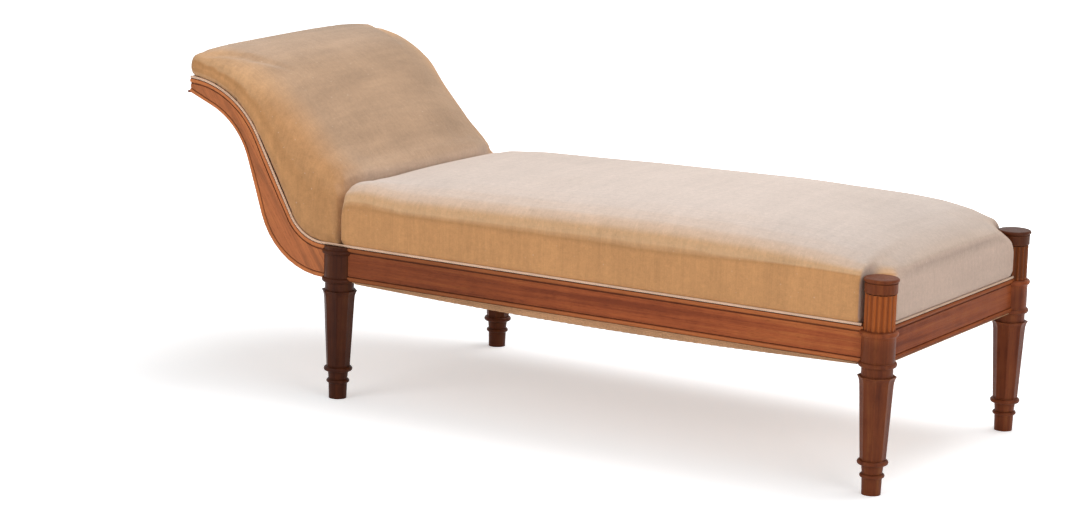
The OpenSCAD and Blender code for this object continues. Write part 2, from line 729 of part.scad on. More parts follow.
// Over the gimp an end starts at a lift; lower points close up just under it
lift_share = 0.9;
function lifted(z, lift) = z < lift ? lift * between(lift_share, 1, z / lift) : z;
x_over_gimp = x_face - draw_in + soft_gap / 2;
function seat_lift(x) = x > x_over_gimp ? draw_h : x == x_over_gimp ? gimp_h : 0;
notch_stations = concat([x_well[2], x_foot - notch_r - cloth_t],
    [for (a = notch_turns) x_foot - notch_r * cos(a)]);
seat_stations = concat(
    [for (v = head_shares) between(x_seat, x_well[0], v)],
    [x_well[0], x_well[1]],
    [for (v = field_shares) x_peak - v * (x_peak - x_seat)],
    [for (v = foot_shares) x_peak + v * (x_seat_end - x_peak)],
    notch_stations,
    [x_face - draw_in, x_over_gimp, x_seat_end]);

// Points that the hollow under the seat adds to half a section
well_points = 3;
// The crown never falls below this share of its height
least_share = 0.02;

module seat_pad() {
    color("burlywood") loft([for (x = seat_stations) let (
            w = well(x), half_w = seat_half_w(x),
            rim = well_rim(x),
            half = concat(
                [[rim / 2, w], [rim - well_run, w], [rim, 0]],
                pad_half(half_w, seat_side, seat_crown * max(least_share, crown_share(x)), turn_powers(x))))
        [for (p = mirrored(half)) [x, p[0], pad_z + lifted(p[1], seat_lift(x))]]],
        middle_fan(well_points + pad_points));
}

// Back: stations along the stile's upper edge, then the drawn-in end over the tip
toe_powers = [1.3, 0.8];
tip_powers = [0.63, 0.37];
end_drop_share = 0.16;
// Low down at the toe the pad is drawn in over the gimp all along its foot
function toe_half_w(z) = between(y_face - draw_in, y_face + side_bulge,
    ramp(z - pad_z, gimp_h, 2 * draw_h));
function back_ring(i, drop_share, lift, x_shift) = let (
        run = front_line[i] - base_line[i], thick = norm(run), d = run / thick,
        side = thick * back_side_share,
        crown = (thick - side) * (1 - drop_share),
        half_w = y_face + side_bulge - (x_shift == 0 ? 0 : side_bulge))
    [for (p = mirrored(pad_half(half_w, side, crown, between(toe_powers, tip_powers, i / last))))
        let (q = base_line[i] + d * lifted(p[1], lift), limit = toe_half_w(q[1]))
        [q[0] - x_shift, max(-limit, min(limit, p[0])), q[1]]];
module back_pad() {
    color("burlywood") loft(concat([for (i = [0 : last]) back_ring(i, 0, 0, 0)],
        [back_ring(last, 0, gimp_h, soft_gap / 2), back_ring(last, end_drop_share, draw_h, x_end - x_cut)]),
        middle_fan(pad_points));
}

// Strips of webbing across the back, each over a run of steps of the upper edge
web_run = 3;
web_places = [6, 10, 14, 19];
module back_webbing() {
    color("wheat") across(y_in + web_end) for (i = web_places)
        band(top_line, i, i + web_run, fit, fit + web_t);
}

// The outside back cloth lies this far inside the lower edge of the stiles
cloth_inset = 3.5;
module back_cloth() {
    line = concat([[x_head - rail_t / 2 - soft_gap, under_line[0][1]]],
        [for (i = [0 : crest_from - 1]) under_line[i]],
        [between(under_line[crest_from - 1], under_line[crest_from], 0.98)]);
    color("tan") difference() {
        across(y_in - soft_gap) band(line, 0, len(line) - 1, cloth_inset, cloth_inset + cloth_t);
        for (y = [-y_leg, y_leg]) translate([x_head, y, 0]) cylinder(h = rail_top, r = ring_r + soft_gap);
    }
}

// Gimp: a cord of eight-sided section along a line in side view
gimp_out = fit + gimp_h / 2;
y_gimp = y_face - draw_in + soft_gap + gimp_d / 2;
gimp_line = concat([[x_foot - post_r, rail_top + gimp_out]],
    [for (i = [0 : last]) outside(top_line, i, gimp_out)]);
module gimp_side(near) {
    color("linen") flip_y(near) loft([for (i = [0 : len(gimp_line) - 1])
        [for (a = [22.5 : 45 : 360]) let (q = outside(gimp_line, i, gimp_h / 2 * cos(a)))
            [q[0], y_gimp + gimp_d / 2 * sin(a), q[1]]]], fan(8));
}

module gimp_bar(x, z, half) {
    color("linen") loft([for (y = [-half, half])
        [for (a = [22.5 : 45 : 360]) [x + gimp_d / 2 * sin(a), y, z + gimp_h / 2 * cos(a)]]], fan(8));
}

module gimp_foot() {
    gimp_bar(x_face - draw_in + soft_gap + gimp_d / 2, rail_top + gimp_out, y_leg - post_r);
}

module gimp_crest() {
    tip = gimp_line[len(gimp_line) - 1];
    gimp_bar(tip[0] + gimp_d / 2, tip[1], y_gimp - gimp_d / 2 - fit);
}

head_leg(true);  // leg_head_near
head_leg(false);  // leg_head_far
foot_leg(true);  // leg_foot_near
foot_leg(false);  // leg_foot_far
side_rail(true);  // side_rail_near
side_rail(false);  // side_rail_far
head_rail();
foot_rail();
stile(true);  // stile_near
stile(false);  // stile_far
crest_rail();
back_stay();
dowels();
brace(false, true);  // brace_head_near
brace(false, false);  // brace_head_far
brace(true, true);  // brace_foot_near
brace(true, false);  // brace_foot_far
brace_screws();
webbing_long();
webbing_cross();
springs();
hessian();
bottoming();
seat_pad();
back_webbing();
back_cloth();
back_pad();
gimp_side(true);  // gimp_near
gimp_side(false);  // gimp_far
gimp_foot();
gimp_crest();
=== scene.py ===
import math

import bmesh
import bpy
from bpy.props import FloatProperty, FloatVectorProperty, PointerProperty
from mathutils import Matrix, Vector, noise
from mathutils.kdtree import KDTree


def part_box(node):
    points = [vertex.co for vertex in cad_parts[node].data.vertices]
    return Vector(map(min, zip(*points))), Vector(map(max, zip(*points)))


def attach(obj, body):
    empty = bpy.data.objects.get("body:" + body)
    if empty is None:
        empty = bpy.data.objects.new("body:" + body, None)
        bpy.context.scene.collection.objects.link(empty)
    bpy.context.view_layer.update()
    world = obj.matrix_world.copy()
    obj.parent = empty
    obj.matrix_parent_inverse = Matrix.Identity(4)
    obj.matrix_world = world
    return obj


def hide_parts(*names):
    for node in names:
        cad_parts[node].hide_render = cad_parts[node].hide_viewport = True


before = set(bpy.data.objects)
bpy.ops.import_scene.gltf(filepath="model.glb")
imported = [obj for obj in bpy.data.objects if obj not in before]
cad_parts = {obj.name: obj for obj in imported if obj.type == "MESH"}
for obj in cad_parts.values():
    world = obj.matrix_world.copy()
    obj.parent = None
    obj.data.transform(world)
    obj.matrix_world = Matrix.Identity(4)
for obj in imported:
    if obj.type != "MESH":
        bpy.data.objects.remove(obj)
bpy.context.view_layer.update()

bl_info = {
    "name": "Recamier finishes",
    "version": (1, 0, 0),
    "blender": (4, 5, 0),
    "location": "View3D > Sidebar > Recamier",
    "description": "Polishes, upholsters and stages a recamier",
    "category": "Object",
}

# The frame: metres, floor at Z 0, foot end toward +X, near long side toward -Y

# Scroll in side view: radii of its two arcs, how far their centres lie behind the head leg's
# centre, the scroll's centre above the rail, and where the scroll ends, in degrees from upright
SWEEP_RADIUS, SWEEP_BACK = 0.1035, 0.0347
SCROLL_RADIUS, SCROLL_BACK, SCROLL_UP = 0.2185, 0.4088, 0.1118
SCROLL_END = 1.783

# Stuffing: frames and pressure of the cloth, height of the broad and the fine ripples in the
# velvet, how far its hem laps out, and the steps that round its edges
CLOTH_FRAMES, CLOTH_PRESSURE = 20, 4.0
BROAD_RIPPLE, FINE_RIPPLE, HEM = 0.0016, 0.0005, 0.0018
ROUNDING_STEPS = 26

# Longest edge in the mesh of a lining, and the half width of the studio floor
LINING_EDGE = 0.022
FLOOR_REACH = 40

# Grain direction, tone and seed of each piece of show wood
SHOW_WOOD = {
    # The head legs' low tones are painted shadow
    "leg_head_near": ((0, 0, 1), 0.24, 3.1),
    "leg_head_far": ((0, 0, 1), 0.34, 7.7),
    "leg_foot_near": ((0, 0, 1), 0.90, 1.3),
    "leg_foot_far": ((0, 0, 1), 1.0, 5.9),
    "side_rail_near": ((1, 0, 0), 1.26, 2.2),
    "side_rail_far": ((1, 0, 0), 1.0, 8.4),
    "foot_rail": ((0, 1, 0), 0.92, 4.6),
    "crest_rail": ((0, 1, 0), 0.90, 6.5),
    "stile_near": ((-0.55, 0, 0.83), 1.62, 9.3),
    "stile_far": ((-0.55, 0, 0.83), 1.20, 0.7),
}

# The same for the wood inside the frame
BARE_WOOD = {
    "head_rail": ((0, 1, 0), 1.0, 1.9),
    "back_stay": ((0, 1, 0), 0.95, 4.1),
    "brace_head_near": ((0.7, -0.7, 0), 0.9, 2.7),
    "brace_head_far": ((0.7, 0.7, 0), 1.0, 6.1),
    "brace_foot_near": ((0.7, 0.7, 0), 0.95, 8.8),
    "brace_foot_far": ((0.7, -0.7, 0), 1.05, 3.5),
    "dowels": ((0, 1, 0), 1.1, 5.2),
}


def colour(name, description, default):
    return FloatVectorProperty(
        name=name, description=description, subtype="COLOR", size=3, min=0, max=1,
        default=default)


def length(name, description, default):
    return FloatProperty(
        name=name, description=description, unit="LENGTH", min=0, default=default)


def angle(name, description, default):
    return FloatProperty(
        name=name, description=description, subtype="ANGLE", default=default)


class RecamierWood(bpy.types.PropertyGroup):
    light: colour("Light figure", "Lightest bands in the mahogany", (0.375, 0.112, 0.033))
    middle: colour("Middle figure", "Main colour of the mahogany", (0.275, 0.066, 0.021))
    dark: colour("Dark figure", "Darkest bands in the mahogany", (0.165, 0.035, 0.012))
    # Orange of the foot posts; on the rails' beads it is a painted highlight
    orange_and_highlight: colour("Bleached wood", "Beads and foot posts, bleached by light", (0.42, 0.098, 0.014))
    # Painted shade: the dark mixed in where grooves, flutes, hollows and corners lie in shade
    recess_shade: colour("Recess_shade", "Old polish and dust in the hollows", (0.030, 0.008, 0.005))
    bare: colour("Bare wood", "Unpolished wood inside the frame", (0.46, 0.27, 0.12))
    band: length("Band width", "Width of the broad bands of figure", 0.014)
    streak: length("Streak width", "Width of the fine streaks", 0.0022)
    edge: length("Edge wear", "Width of the worn edges", 0.0018)


class RecamierVelvet(bpy.types.PropertyGroup):
    # Painted light and shade by facing: the top is palest as lit from above, the upright sides are
    # the shaded gold, the turn is a painted lit band, the end's turn a painted shade band, and the
    # slope is the back's face in painted shade
    top: colour("Top", "Velvet seen from above, where light has faded it", (0.648, 0.542, 0.480))
    side: colour("Side", "Velvet on the upright long sides", (0.585, 0.296, 0.124))
    turn: colour("Turn", "Velvet where it turns over the edge", (0.660, 0.402, 0.218))
    end: colour("End", "Velvet on the upright foot end", (0.545, 0.398, 0.318))
    end_turn: colour("End's turn", "Velvet where the foot end turns over", (0.515, 0.390, 0.310))
    slope: colour("Slope", "Velvet on the sloping face of the back", (0.420, 0.272, 0.172))
    seat_swell: length("Seat's swell", "Most that stuffing pushes the seat's velvet out", 0.0015)
    back_swell: length("Back's swell", "Most that stuffing pushes the back's velvet out", 0.0090)
    coarse: length("Stuffing mesh size", "Size of the mesh that works out the stuffing", 0.011)
    fine: length("Cover mesh size", "Size of the cover's own mesh", 0.0055)
    pile: length("Pile streaks", "Width of the streaks in the pile", 0.0030)


class RecamierTrim(bpy.types.PropertyGroup):
    gimp: colour("Gimp", "Twisted gimp over the tacks", (0.940, 0.650, 0.465))
    # Painted light: the canvas colour is raised so that its strip in the rail's shade looks lit
    canvas: colour("Canvas", "Cloth under the seat", (0.700, 0.380, 0.200))
    jute: colour("Jute", "Webbing and hessian", (0.430, 0.280, 0.130))
    steel: colour("Steel", "Springs and screws", (0.42, 0.41, 0.40))
    strand: length("Strand", "Radius of a strand of the gimp", 0.0015)
    twist: length("Twist", "Length of one turn of the gimp", 0.0080)


class RecamierStage(bpy.types.PropertyGroup):
    floor: colour("Floor", "Colour of the studio floor", (0.87, 0.885, 0.90))
    eye: FloatVectorProperty(
        name="Eye", description="Camera's place", subtype="TRANSLATION", size=3,
        default=(3.46233, -5.97450, 1.68980))
    lens: FloatProperty(
        name="Lens", description="Focal length in millimetres", min=1, default=106.753)
    yaw: angle("Yaw", "Camera's turn about the upright", 0.5442972)
    pitch: angle("Pitch", "Camera's tilt down", 0.1966964)
    roll: angle("Roll", "Camera's lean", 0.0300545)


class Socket:
    """Output of a shader node; the operators on it add Math nodes."""

    def __init__(self, finish, link):
        self.finish = finish
        self.link = link

    def math(self, operation, *values):
        settings = {"operation": operation}
        return self.finish.node("ShaderNodeMath", settings, dict(enumerate(values)))

    def __add__(self, other):
        return self.math("ADD", self, other)

    def __sub__(self, other):
        return self.math("SUBTRACT", self, other)

    def __rsub__(self, other):
        return self.math("SUBTRACT", other, self)

    def __mul__(self, other):
        return self.math("MULTIPLY", self, other)

    def __truediv__(self, other):
        return self.math("DIVIDE", self, other)

    def __rtruediv__(self, other):
        return self.math("DIVIDE", other, self)

    def __pow__(self, other):
        return self.math("POWER", self, other)

    def __abs__(self):
        return self.math("ABSOLUTE", self)

    __radd__ = __add__
    __rmul__ = __mul__

    def sine(self):
        return self.math("SINE", self)

    def at_least(self, low):
        return self.math("MAXIMUM", self, low)

    def at_most(self, high):
        return self.math("MINIMUM", self, high)

    def ramp(self, low, high, start=0.0, end=1.0):
        """Smooth step from start to end as this value goes from low to high."""
        return self.finish.node("ShaderNodeMapRange", {"interpolation_type": "SMOOTHSTEP"},
                                {0: self, 1: low, 2: high, 3: start, 4: end})


class Finish:
    """Material under its Principled shader, with the other nodes that feed it."""

    def __init__(self, name, **constants):
        self.material = bpy.data.materials.new(name)
        self.material.use_nodes = True
        self.tree = self.material.node_tree
        self.shader = self.tree.nodes["Principled BSDF"]
        for socket, value in constants.items():
            self.shader.inputs[socket.replace("_", " ")].default_value = value
        self.place = self.node("ShaderNodeTexCoord", out="Object")

    def node(self, kind, settings=None, sockets=None, out=0):
        """Node with its settings made first, then its sockets; gives one output."""
        made = self.tree.nodes.new(kind)
        for key, value in (settings or {}).items():
            if key == "stops":
                while len(made.color_ramp.elements) < len(value):
                    made.color_ramp.elements.new(1.0)
                for stop, (place, tint) in zip(made.color_ramp.elements, value):
                    stop.position, stop.color = place, (*tint, 1)
            else:
                setattr(made, key, value)
        for key, value in (sockets or {}).items():
            if isinstance(value, Socket):
                self.tree.links.new(value.link, made.inputs[key])
            else:
                made.inputs[key].default_value = value
        return Socket(self, made.outputs[out])

    def mix(self, share, first, second, blend="MIX"):
        """Colour between two colours, each a socket or a triple."""
        first, second = (c if isinstance(c, Socket) else (*c, 1) for c in (first, second))
        return self.node("ShaderNodeMix", {"data_type": "RGBA", "blend_type": blend},
                         {0: share, 6: first, 7: second}, out=2)

    def graded(self, value, *stops):
        """Colour that goes through the stops, each a place and a colour, as the value rises."""
        return self.node("ShaderNodeValToRGB", {"stops": stops}, {0: value})

    def grey(self, value):
        return self.node("ShaderNodeCombineColor", {}, {0: value, 1: value, 2: value})

    def shade(self, base, value):
        """Colour multiplied by a value."""
        return self.mix(1.0, base, self.grey(value), "MULTIPLY")

    def stretched(self, point, scale, offset=0.0, turn=(0, 0, 0)):
        """The point turned, scaled along each axis and moved."""
        return self.node("ShaderNodeMapping", {},
                         {"Vector": point, "Location": (offset, offset, offset),
                          "Rotation": turn, "Scale": scale})

    def cloud(self, point, scale=1.0, detail=3.0, rough=0.55):
        """Soft noise, mostly between 0.3 and 0.7."""
        return self.node("ShaderNodeTexNoise", {},
                         {"Vector": point, "Scale": scale, "Detail": detail, "Roughness": rough})

    def normal(self):
        """The three parts of the surface's direction."""
        return self.parts(self.node("ShaderNodeNewGeometry", out="Normal"))

    def parts(self, point):
        """A vector's X, Y and Z."""
        return [self.node("ShaderNodeSeparateXYZ", {}, {0: point}, out=k) for k in range(3)]

    def worn(self, radius):
        """1 on sharp edges, 0 on plain faces."""
        soft = self.node("ShaderNodeBevel", {"samples": 6}, {"Radius": radius})
        hard = self.node("ShaderNodeNewGeometry", out="Normal")
        same = self.node("ShaderNodeVectorMath", {"operation": "DOT_PRODUCT"},
                         {0: soft, 1: hard}, out="Value")
        return (1 - same).ramp(0.015, 0.16)

    def occlusion(self, distance):
        """Ambient occlusion: 1 deep in a groove, 0 in the open; the finishes darken by it as
        painted shade.
        """
        seen = self.node("ShaderNodeAmbientOcclusion", {"samples": 8, "only_local": False},
                         {"Distance": distance}, out="AO")
        return (1 - seen).ramp(0.25, 0.85)

    def finish(self, base, roughness, height, depth, coat=None):
        """Link what varies over the surface to the shader; depth is the bump's, in metres."""
        bump = self.node("ShaderNodeBump", {},
                         {"Strength": 1.0, "Distance": depth, "Height": height})
        feeds = {"Base Color": base, "Roughness": roughness, "Normal": bump, "Coat Weight": coat}
        for socket, value in feeds.items():
            if value is not None:
                self.tree.links.new(value.link, self.shader.inputs[socket])
        return self.material


def blended(first, second, share):
    """Colour between two given ones."""
    return tuple(a + (b - a) * share for a, b in zip(first, second))


def dimmed(tint, share):
    """Given colour times a share."""
    return tuple(c * share for c in tint)


def middle_of(node):
    """Middle of a CAD node's box."""
    low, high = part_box(node)
    return (Vector(low) + Vector(high)) / 2


def grain_turn(grain):
    """Rotation that lays the grain's direction along Z."""
    return Vector(grain).rotation_difference(Vector((0, 0, 1))).to_euler()


def relief(mat, node):
    """How far a point is on the moulding's beads, which carry painted highlight, and in its
    grooves, which carry painted shade.
    """
    x, y, _ = mat.parts(mat.place)
    if node == "foot_rail":
        out, face = x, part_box(node)[1][0]
    else:
        out, face = abs(y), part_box("side_rail_far")[1][1]
    lit_bead = out.ramp(face - 0.0026, face - 0.0008)
    deep, shallow = face - 0.0070, face - 0.0034
    shaded_groove = out.ramp(deep, deep + 0.0018) * (1 - out.ramp(shallow - 0.0013, shallow))
    return lit_bead, shaded_groove


def turning(mat, node):
    """Shares of a foot leg: its post, the post's ridges (painted highlight) and flutes (painted
    shade), its cap, and what is high.
    """
    x, y, z = mat.parts(mat.place)
    centre = middle_of(node)
    radius = ((x - centre.x) ** 2 + (y - centre.y) ** 2) ** 0.5
    post = z.ramp(0.3365, 0.3385) * (1 - z.ramp(0.4085, 0.4100))
    lit_ridge = post * radius.ramp(0.0296, 0.0312)
    shaded_flute = post * (1 - radius.ramp(0.0286, 0.0298))
    return post, lit_ridge, shaded_flute, z.ramp(0.4090, 0.4110), z.ramp(0.300, 0.345)


def mahogany(name, node, grain, tone, seed):
    """Figured mahogany under old polish, worn at its edges, with painted highlights on its beads
    and ridges and painted shade in its grooves, flutes and hollows.
    """
    wood = bpy.context.scene.recamier_wood
    foot_rail = node == "foot_rail"
    mat = Finish(name, Coat_Roughness=0.20, Coat_IOR=1.35,
                 Specular_IOR_Level=0.02 if foot_rail else 0.10)
    point = mat.stretched(mat.place, (1, 1, 1), turn=grain_turn(grain))

    broad, fine = 1 / wood.band, 1 / wood.streak
    bend = mat.cloud(mat.stretched(point, (4, 4, 1.1), seed), 1.0, 2.0)
    bands = mat.cloud(mat.stretched(point, (broad, broad, 1.5), seed + 1.0), 1.0, 4.0, 0.6)
    ribbon = mat.cloud(mat.stretched(point, (18, 18, 26), seed + 5.0), 1.0, 2.0)
    streaks = mat.cloud(mat.stretched(point, (fine, fine, 7), seed + 2.0), 1.0, 3.0, 0.65)
    pores = mat.cloud(mat.stretched(point, (1900, 1900, 70), seed + 3.0), 1.0, 1.0)
    pores = pores.ramp(0.60, 0.72)
    figure = (bands * 0.62 + bend * 0.38 + (ribbon - 0.5) * 0.16).ramp(0.30, 0.72)
    base = mat.mix(figure.ramp(0.0, 0.55), wood.dark, wood.middle)
    base = mat.mix(figure.ramp(0.5, 1.0, 0.0, 0.85), base, wood.light)
    if "stile" in node:
        base = mat.mix(0.16, base, wood.bare)

    shade_and_tone = 1.0
    if foot_rail or "rail_" in node or "stile" in node:
        lit_bead, shaded_groove = relief(mat, node)
        # Painted highlight on the beads and painted shade in the grooves
        base = mat.mix(lit_bead * (0.18 if foot_rail else 0.50), base,
                       blended(wood.orange_and_highlight, wood.bare, 0.25))
        base = mat.mix(shaded_groove * (0.36 if foot_rail else 0.60), base, wood.recess_shade)
        if node == "side_rail_near":
            # Painted shadow: the near rail darkens toward the head end
            shade_and_tone = mat.parts(mat.place)[0].ramp(-0.25, 0.30, 0.66, 1.0)
    elif "leg_foot" in node:
        post, lit_ridge, shaded_flute, cap, high = turning(mat, node)
        facing_up = mat.normal()[2].ramp(0.5, 0.95)
        base = mat.mix(high * 0.12 + post * 0.66, base, wood.orange_and_highlight)
        # Painted highlight on the ridges, painted shade in the flutes
        base = mat.mix(lit_ridge * 0.35, base, wood.light)
        base = mat.mix(shaded_flute * 0.44, base, wood.recess_shade)
        # Painted shade on faces turned up; the lower leg and the cap are darker in tone
        shade_and_tone = (0.60 + high * 0.44) * (1 - facing_up * 0.22) * (1 - cap * 0.38)
        if "far" in node:
            # The far post is darker above its block
            shade_and_tone = shade_and_tone * mat.parts(mat.place)[2].ramp(0.333, 0.343, 1.0, 0.40)

    worn = mat.worn(wood.edge)
    occlusion = mat.occlusion(0.007)
    rubbed = mat.cloud(mat.stretched(point, (60, 60, 22), seed + 4.0), 1.0, 3.0).ramp(0.35, 0.65)
    bright = tuple(min(1.0, c * 1.25 * tone) for c in wood.light)
    base = mat.shade(base, (0.70 + streaks * 0.60) * (1 - pores * 0.35) * tone * shade_and_tone)
    base = mat.mix(worn * (0.18 + rubbed * 0.40), base, bright)
    # Painted shade in the hollows, by ambient occlusion
    base = mat.mix(occlusion * 0.80, base, wood.recess_shade)
    rough = 0.36 + streaks * 0.16 + pores * 0.2 + occlusion * 0.3 + (1 - rubbed) * 0.06
    return mat.finish(base, rough, streaks * 0.25 - pores * 0.6, 0.00022, 0.06 - occlusion * 0.05)


def bare_wood(name, grain, tone, seed):
    """Sawn wood without polish, with painted shade in its corners."""
    wood = bpy.context.scene.recamier_wood
    mat = Finish(name)
    point = mat.stretched(mat.place, (1, 1, 1), turn=grain_turn(grain))
    bands = mat.cloud(mat.stretched(point, (70, 70, 2), seed), 1.0, 4.0)
    streaks = mat.cloud(mat.stretched(point, (700, 700, 12), seed + 1.0), 1.0, 2.0)
    base = mat.mix(bands.ramp(0.35, 0.65), dimmed(wood.bare, 0.62), wood.bare)
    base = mat.shade(base, (0.8 + streaks * 0.4) * tone)
    # Painted shade in the corners, by ambient occlusion
    base = mat.mix(mat.occlusion(0.012) * 0.6, base, wood.recess_shade)
    return mat.finish(base, 0.68 + streaks * 0.2, streaks, 0.0004)


def woven(name, base, step, seed, worn=0.5):
    """Plain weave of threads, a step apart, on a level or upright cloth."""
    mat = Finish(name, Specular_IOR_Level=0.2)
    x, y, z = mat.parts(mat.place)
    turn = 2 * math.pi / (2 * step)
    across = (x * turn).sine() * (y * turn).sine() + (z * turn).sine() * 0.5
    slub = mat.cloud(mat.stretched(mat.place, (300, 24, 300), seed), 1.0, 3.0)
    warp = mat.cloud(mat.stretched(mat.place, (24, 300, 24), seed + 2), 1.0, 3.0)
    stain = mat.cloud(mat.place, 3.5, 4.0)
    tone = 0.78 + across * 0.12 + (slub + warp - 1.0) * 0.55 + (stain - 0.5) * worn
    return mat.finish(mat.shade(base, tone), 0.86 + slub * 0.1, across + slub, 0.0005)


def seat_colours(mat):
    """Colours of the seat's cover painted by facing: shaded side, lit turn and lit top, with a
    painted shadow line where it turns.
    """
    cover = bpy.context.scene.recamier_velvet
    nx, ny, nz = mat.normal()
    x, _, z = mat.parts(mat.place)
    waver = mat.cloud(mat.place, 2.6, 3.0) - 0.5
    toward_end = nx.at_least(0.0) / (nx.at_least(0.0) + abs(ny) + 0.04)
    at_end = toward_end.ramp(0.35, 0.75)
    line = x.ramp(0.30, 0.70, 0.430, 0.449) + waver * 0.006
    up = (nz + waver * 0.10) * z.ramp(line - 0.012, line + 0.008)
    # Painted light and shade by facing: a darker line above the upright side, a lit band at the
    # turn, the lit top
    long_side = mat.graded(
        up, (0.0, cover.side), (0.03, dimmed(cover.side, 0.92)), (0.12, cover.turn),
        (0.34, cover.turn), (0.62, blended(cover.turn, cover.top, 0.30)),
        (0.86, blended(cover.turn, cover.top, 0.66)), (0.985, cover.top))
    foot_end = mat.graded(
        up, (0.0, cover.end), (0.28, cover.end), (0.50, cover.end_turn),
        (0.75, blended(cover.end_turn, cover.top, 0.25)),
        (0.93, blended(cover.end_turn, cover.top, 0.60)), (0.99, cover.top))
    base = mat.mix(at_end, long_side, foot_end)
    # Painted shadow along the turn, and painted shade on the top toward the foot
    off_line = abs(z - line - 0.002 + at_end * 0.009) * (95 - at_end * 40)
    crease_shade = (1 - off_line).at_least(0.0) * (0.068 + at_end * (0.11 + waver * 0.35))
    foot_shade = x.ramp(0.35, 0.84, 0.0, 0.17) * up.ramp(0.60, 0.95)
    return mat.shade(base, (1 - foot_shade) * (1 - crease_shade))


def back_colours(mat):
    """Colours of the back's cover by how far it turns from the side to the face, painted light and
    shade.
    """
    cover = bpy.context.scene.recamier_velvet
    _, ny, nz = mat.normal()
    _, y, z = mat.parts(mat.place)
    turned = (1 - ny * ny).at_least(0.0) ** 0.5 + (mat.cloud(mat.place, 3.1, 3.0) - 0.5) * 0.12
    # Painted light and shade: the sides' gold, paler high on the scroll
    low_gold = (cover.side[0] * 0.89, cover.side[1] * 0.92, cover.side[2] * 0.98)
    high_gold = dimmed(blended(cover.side, cover.turn, 0.70), 0.92)
    gold = mat.mix(z.ramp(0.60, 0.70), low_gold, high_gold)
    # Painted light: the face is paler where it turns up, low down near the seat, and toward the
    # near side
    face = mat.mix(nz.ramp(0.85, 0.99), cover.slope, blended(cover.slope, cover.top, 0.11))
    for low, high, paler in ((0.47, 0.57, 0.10), (0.478, 0.508, 0.36)):
        face = mat.mix(z.ramp(low, high, 0.85, 0.0), face, blended(cover.slope, cover.top, paler))
    face = mat.shade(face, y.ramp(-0.30, 0.30, 1.05, 0.94))
    waver = (mat.cloud(mat.place, 4.0, 3.0) - 0.5) * 0.05
    face = mat.mix((abs(y) + waver).ramp(0.235, 0.335) * 0.80, face, gold)
    # Painted shade: a darker line where the side turns into the face
    deep = dimmed(cover.side, 0.93)
    upright = mat.graded(turned, (0.0, cover.side), (0.10, deep), (0.24, dimmed(deep, 0.93)),
                         (0.45, deep))
    upright = mat.mix(turned.ramp(0.25, 0.50), upright, gold)
    return mat.mix(turned.ramp(0.66, 0.95), upright, face)


def outside_colours(mat):
    """Colours of the outside back: the long sides' shaded gold, darker in patches."""
    cover = bpy.context.scene.recamier_velvet
    soil = mat.cloud(mat.place, 5.0, 4.0).ramp(0.35, 0.70)
    return mat.mix(soil, cover.side, dimmed(cover.side, 0.86))


def velvet(name, colours, seed, nap=0.24, brush=(0, 0, 0)):
    """Cut pile: its colours paint light and shade by how it faces, over streaks and patches in its
    nap.
    """
    cover = bpy.context.scene.recamier_velvet
    mat = Finish(name, Sheen_Weight=0.22, Sheen_Roughness=0.45, Sheen_Tint=(1.0, 0.93, 0.84, 1),
                 Specular_IOR_Level=0.10)
    base = colours(mat)
    fine = 1 / cover.pile
    along = mat.cloud(mat.stretched(mat.place, (11, fine, 11), seed), 1.0, 3.0)
    upright = mat.cloud(mat.stretched(mat.place, (fine, 11, 11), seed + 1), 1.0, 3.0)
    sideways = abs(mat.normal()[1]).ramp(0.4, 0.75)
    streaks = along * (1 - sideways) + upright * sideways
    ribs = (mat.cloud(mat.stretched(mat.place, (62, 62, 3), seed + 5), 1.0, 2.0) - 0.5) * sideways
    brushed = mat.cloud(mat.stretched(mat.place, (34, 4, 20), seed + 2, brush), 1.0, 5.0, 0.62)
    patches = mat.cloud(mat.stretched(mat.place, (3.4, 5.0, 3.4), seed + 3), 1.0, 4.0, 0.55)
    mottle = mat.cloud(mat.place, 120.0, 4.0, 0.7)
    lint = mat.cloud(mat.place, 170.0, 1.0).ramp(0.755, 0.785)
    speckle = mat.cloud(mat.place, 420.0, 2.0, 0.6)
    tone = (1.0 + (streaks - 0.5) * 0.18 + (brushed - 0.5) * nap + (patches - 0.5) * nap
            + (mottle - 0.5) * 0.36 + (speckle - 0.5) * 0.22 + ribs * 0.22)
    # Painted shade in the hollows, by ambient occlusion
    occlusion = mat.occlusion(0.012)
    base = mat.shade(base, tone * (1 - occlusion * 0.22))
    base = mat.mix(lint * 0.30, base, (0.80, 0.70, 0.60))
    fibres = mat.cloud(mat.place, 1400.0, 2.0)
    height = fibres * 0.6 + streaks * 0.5 + ribs
    return mat.finish(base, 0.84 + (brushed - 0.5) * 0.2, height, 0.0006)


def gimp_thread(name, thread):
    """Twisted thread, soiled in patches, with painted shade between its strands."""
    mat = Finish(name, Sheen_Weight=0.25, Specular_IOR_Level=0.25)
    threads = mat.cloud(mat.place, 900.0, 2.0)
    soil = mat.cloud(mat.place, 14.0, 3.0)
    occlusion = mat.occlusion(0.0035)
    base = mat.mix(soil.ramp(0.35, 0.7), thread, dimmed(thread, 0.86))
    base = mat.shade(base, 0.82 + threads * 0.36)
    # Painted shade between the strands, by ambient occlusion
    base = mat.mix(occlusion * 0.55, base, (0.22, 0.12, 0.065))
    return mat.finish(base, 0.75 + threads * 0.15, threads, 0.0003)


def steel(name):
    """Dull steel with patches of rust."""
    trim = bpy.context.scene.recamier_trim
    mat = Finish(name, Metallic=0.9)
    rust = mat.cloud(mat.place, 60.0, 4.0).ramp(0.48, 0.66)
    base = mat.mix(rust, trim.steel, (0.17, 0.075, 0.035))
    return mat.finish(base, 0.38 + rust * 0.4, rust, 0.0002)


def give(obj, material):
    """Give the object's mesh one material."""
    obj.data.materials.clear()
    obj.data.materials.append(material)


